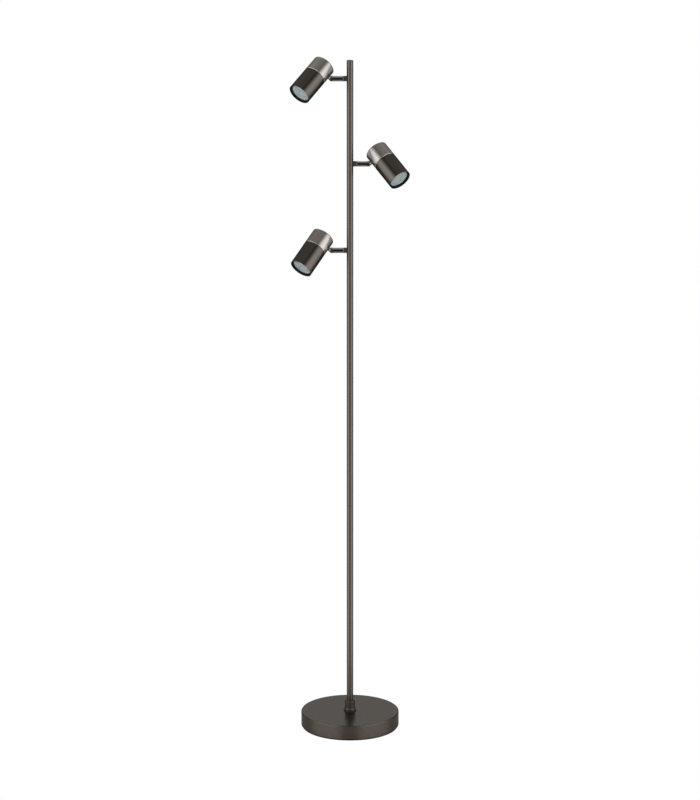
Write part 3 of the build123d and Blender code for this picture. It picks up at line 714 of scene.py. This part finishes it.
def stub_patches():
    """Stub from the pole's skin: its inner end follows the pole, at z = sqrt(R^2 - (r sin a)^2) for radius r.

    The row list runs round the wall: skin, bevel, end, bore, spigot end, spigot side and back to the skin.
    Two support rows, near the saddle and near the bevel, keep the skin straight under smooth shading.
    """
    angle = steps_round(AROUND)[None]

    def saddle(radius):
        return np.sqrt((POLE_R + FIT) ** 2 - (radius * np.sin(angle)) ** 2)

    skin_end = STUB_END - STUB_BEVEL
    rows = [
        circle(STUB_R, saddle(STUB_R), angle),
        circle(STUB_R, saddle(STUB_R) + FINE_EDGE_R, angle),
        circle(STUB_R, skin_end - FAINT_EDGE_R, angle),
        circle(STUB_R, skin_end, angle),
        circle(STUB_R - STUB_BEVEL, STUB_END, angle),
        circle(STUB_BORE_R, STUB_END, angle),
        circle(STUB_BORE_R, SPIGOT_END, angle),
        circle(SPIGOT_R, SPIGOT_END, angle),
        circle(SPIGOT_R, saddle(SPIGOT_R), angle),
    ]
    return [(np.concatenate(rows), True, 0)]


washer = [
    (RING_BORE_R, STUB_END, 0),
    (RING_R, STUB_END, RING_EDGE_R),
    (RING_R, STUB_END + RING_T, RING_EDGE_R),
    (RING_BORE_R, STUB_END + RING_T, 0),
]

for name in ARM_SIDES:
    place = stub_place(name)
    boss, seat = f"arm_boss_{name}", f"swivel_washer_{name}"
    make_piece(f"stub_{name}", stub_patches(), place, "stand", boss, [BROWN_BRONZE])
    make_piece(f"ring_{name}", whole(washer), place, "stand", seat, [BRIGHT_RING])


# Pieces of each head

cup_skin = [(0, 0, 0), (HEAD_R, 0, CUP_EDGE_R), (HEAD_R, CUP_L - CUP_LIP, 0)]
cup_lip = [(HEAD_R, CUP_L - CUP_LIP, 0), (HEAD_R - CUP_LIP, CUP_L, 0)]
cup_inside = [
    (HEAD_R - CUP_LIP, CUP_L, 0),
    (TUBE_BORE_R - FIT, CUP_L, 0),
    (TUBE_BORE_R - FIT, CUP_L + CUP_SPIGOT_L, FINE_EDGE_R),
    (CUP_BORE_R, CUP_L + CUP_SPIGOT_L, FINE_EDGE_R),
    (CUP_BORE_R, CUP_END_T, CUP_CORNER_R),
    (0, CUP_END_T, 0),
]
# Finish 1 is the lip: a polished chamfer whose lighter colour is a painted highlight.
cup = joined((cup_skin, 0), (cup_lip, 1), (cup_inside, 0))

shade_skin = [
    (TUBE_BORE_R, CUP_L, 0),
    (HEAD_R, CUP_L, TUBE_BACK_EDGE_R),
    (HEAD_R, HEAD_L, TUBE_RIM_EDGE_R),
    (TUBE_RIM_R, HEAD_L, 0),
]
shade_bore = [(TUBE_RIM_R, HEAD_L, 0), (TUBE_BORE_R, HEAD_L, TUBE_RIM_EDGE_R), (TUBE_BORE_R, CUP_L, 0)]
shade = joined((shade_skin, 0), (shade_bore, 1))

lamp_coat = [
    (0, LAMP_BACK, 0),
    (LAMP_NECK_R, LAMP_BACK, LAMP_EDGE_R),
    *bulging((LAMP_NECK_R, LAMP_NECK_END), (LAMP_R, LAMP_RIM_START), LAMP_BULGE),
    (LAMP_R, LAMP_FRONT, LAMP_EDGE_R),
    (LENS_SEAT_R, LAMP_FRONT, SMALL_EDGE_R),
    (LENS_SEAT_R, LENS_SEAT, 0),
]
mouth_r = LENS_SEAT_R - LAMP_LEDGE
reflector = [
    (LENS_SEAT_R, LENS_SEAT, 0),
    (mouth_r, LENS_SEAT, 0),
    *bulging((mouth_r, LAMP_RIM_START), (LAMP_NECK_R - LAMP_WALL, LAMP_NECK_END), -LAMP_BULGE),
    (0, LAMP_NECK_END, 0),
]
lamp = joined((lamp_coat, 0), (reflector, 1))


def lens_patches():
    """Pressed lens: a low crown with ring ripples and flutes that fade to the rim, and a plain edge and back.

    At share s of the radius, the front falls by crown * s^2 from its middle. To that come the ripples,
    height * cos(2 pi r / pitch), and in the outer band the flutes, height * cos(count * a).
    """
    radius = np.concatenate([[0.0], np.linspace(LENS_MARGIN, LENS_R - LENS_MARGIN, LENS_ROWS)])[:, None]
    angle = steps_round(LENS_AROUND)[None]
    share = radius / LENS_R
    fade = np.clip((1 - share) / RIPPLE_FADE, 0, 1)
    front = LENS_FRONT - LENS_CROWN_SINK - LENS_CROWN_H * share**2
    ripples = RIPPLE_H * np.cos(2 * pi * radius / RIPPLE_PITCH) * fade
    flutes = FLUTE_H * np.cos(FLUTE_COUNT * angle) * np.clip((share - FLUTE_START) / FLUTE_RISE, 0, 1) * fade
    edge = LENS_FRONT - LENS_EDGE_SINK
    inset, rise = LENS_EDGE_CHAMFER
    rows = [
        circle(radius, front + ripples + flutes, angle),
        circle(LENS_R - inset, edge + rise, angle),
        circle(LENS_R, edge, angle),
        circle(LENS_R, LENS_SEAT, angle),
        circle(0.0, LENS_SEAT, angle),
    ]
    return [(np.concatenate(rows), False, 0)]


for name in ARM_SIDES:
    place = head_place(name)
    body = f"head_{name}"
    make_piece(f"cup_{name}", cup, place, body, f"rear_cap_{name}", [NICKEL, NICKEL_LIP_PAINTED_HIGHLIGHT])
    make_piece(f"shade_{name}", shade, place, body, f"body_tube_{name}", [BRONZE, TUBE_BLACK])
    make_piece(f"lamp_{name}", lamp, place, body, f"bulb_{name}", [LAMP_COAT, SILVERED])
    make_piece(f"lens_{name}", lens_patches(), place, body, f"bulb_lens_{name}", [LENS_GLASS])


# Stage: white floor, soft light by direction and the camera

FLOOR_R = 0.45
FLOOR_SIDES = 96


def pale_floor(kit):
    """Smooth pale sheet, with a faint glow of its own."""
    return {"Base Color": rgb(0.92, 0.88, 0.80), "Roughness": 0.12, "IOR": 2.0, "Emission Strength": 0.06}


floor_mesh = bpy.data.meshes.new("floor")
floor_rim = circle(FLOOR_R, 0.0, steps_round(FLOOR_SIDES))
floor_mesh.from_pydata(floor_rim.tolist(), [], [list(range(FLOOR_SIDES))])
floor_mesh.materials.append(finish("pale_floor", pale_floor, backdrop=True))
floor = bpy.data.objects.new("floor", floor_mesh)
bpy.context.scene.collection.objects.link(floor)

# Strength of each light, and the lean and tone of the one overhead
ROOM = 0.014
SIDE_BOXES = 1.4
REAR_BOX = 0.52
REAR_TOP_BOX = 0.95
REAR_CORNERS = 0.14
FRONT_TOP_BOX = 0.24
OVERHEAD = 0.20
BELOW = 0.20
OVERHEAD_LEAN = 0.25
OVERHEAD_TONE = rgb(1.0, 0.94, 0.885)


def studio():
    """Light by direction, x to the right, y to the back and z up: a dim room with soft boxes that fade out.

    One box stands at each side, a tall one behind, one high behind, one high in front and a faint one in each
    rear corner. A warm one hangs overhead, and the ground gives some light back.
    """
    world = bpy.data.worlds.new("studio")
    bpy.context.scene.world = world
    world.use_nodes = True
    kit = Kit(world.node_tree)
    way = kit.node("ShaderNodeTexCoord")[GENERATED]
    x, y, z = kit.node("ShaderNodeSeparateXYZ", None, {0: way})
    out = abs(x)
    side = kit.rise(out, 0.16, 0.55) * kit.fall(y, -0.22, 0.50)
    side = side * kit.rise(z, -0.65, -0.40) * kit.fall(z, 0.30, 0.78)
    rear = kit.rise(y, 0.50, 0.80) * kit.fall(out, 0.15, 0.40)
    rear = rear * kit.rise(z, -0.75, -0.55) * kit.fall(z, 0.70, 0.90)
    rear_top = kit.rise(y, 0.25, 0.50) * kit.fall(out, 0.12, 0.35)
    rear_top = rear_top * kit.rise(z, 0.50, 0.65) * kit.fall(z, 0.85, 0.95)
    corner = kit.rise(out, 0.22, 0.42) * kit.rise(y, 0.30, 0.60)
    corner = corner * kit.rise(z, 0.0, 0.25) * kit.fall(z, 0.75, 0.95)
    front_top = kit.fall(y, -0.60, -0.30) * kit.fall(out, 0.15, 0.40) * kit.rise(z, 0.62, 0.76)
    overhead = kit.rise(z + OVERHEAD_LEAN * y, 0.66, 0.92)
    below = kit.fall(z, -0.80, -0.50)
    level = ROOM + REAR_CORNERS * corner + SIDE_BOXES * side + REAR_BOX * rear + REAR_TOP_BOX * rear_top
    level = level + OVERHEAD * overhead + FRONT_TOP_BOX * front_top + BELOW * below
    tone = kit.mix(overhead, rgb(1, 1, 1), OVERHEAD_TONE)
    light = kit.node("ShaderNodeBackground", None, {"Color": tone, "Strength": level})[0]
    kit.node("ShaderNodeOutputWorld", None, {"Surface": white_to_camera(kit, light)})


studio()

# Camera, solved from the photograph. The focal length and the picture's height are in pixels.
FOCAL_PIXELS = 5474.8
PICTURE_HEIGHT = 800.0
SENSOR_HEIGHT = 24.0
CAMERA_AT = (0.0, -12.0, 4.1241)
CAMERA_DIP = 15.57

camera_data = bpy.data.cameras.new("camera")
camera_data.sensor_fit = "VERTICAL"
camera_data.sensor_height = SENSOR_HEIGHT
camera_data.lens = FOCAL_PIXELS / PICTURE_HEIGHT * SENSOR_HEIGHT
camera_data.clip_end = 50.0
camera = bpy.data.objects.new("camera", camera_data)
camera.location = CAMERA_AT
camera.rotation_euler = (radians(90 - CAMERA_DIP), 0.0, 0.0)
bpy.context.scene.collection.objects.link(camera)
bpy.context.scene.camera = camera
bpy.context.scene.view_settings.view_transform = "Standard"
